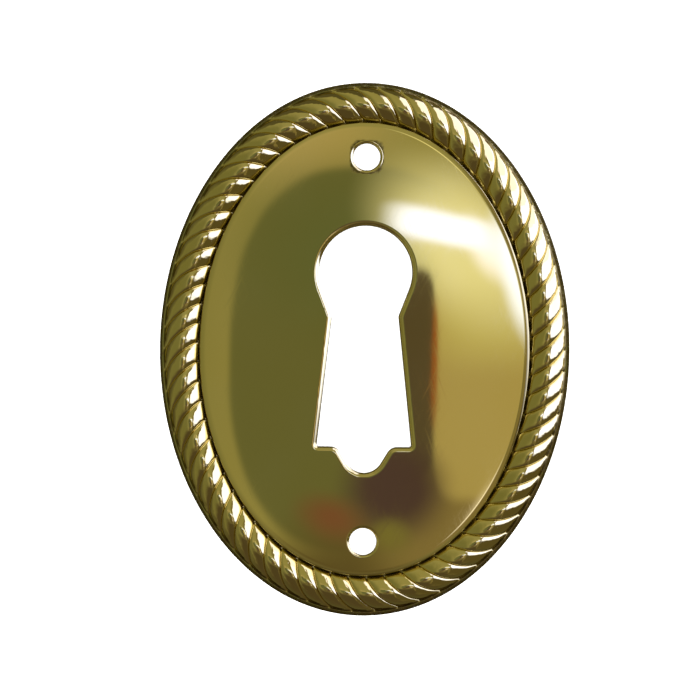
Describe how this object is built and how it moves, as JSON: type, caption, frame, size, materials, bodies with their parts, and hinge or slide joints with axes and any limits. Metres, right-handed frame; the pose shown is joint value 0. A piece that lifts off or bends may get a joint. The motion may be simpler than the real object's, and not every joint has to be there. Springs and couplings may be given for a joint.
{
  "type": "keyhole escutcheon",
  "caption": "Oval sheet-brass keyhole plate with a twisted rope border, a crowned field, a keyhole with a lobed foot and pin holes above and below; it covers and lines a lock's key opening.",
  "frame": {"origin": "middle of the plate's back plane, under the middle of the oval outline", "axes": "+Z out of the decorated face, away from the furniture; +Y along the longer axis, towards the keyhole's round end; +X to the right seen from the front"},
  "size_m": [0.0318, 0.0412, 0.0023],
  "materials": {
    "polished_brass": "polished and lacquered, with fine rub marks"
  },
  "bodies": {
    "root": {"escutcheon_plate": "polished_brass"}
  },
  "joints": []
}
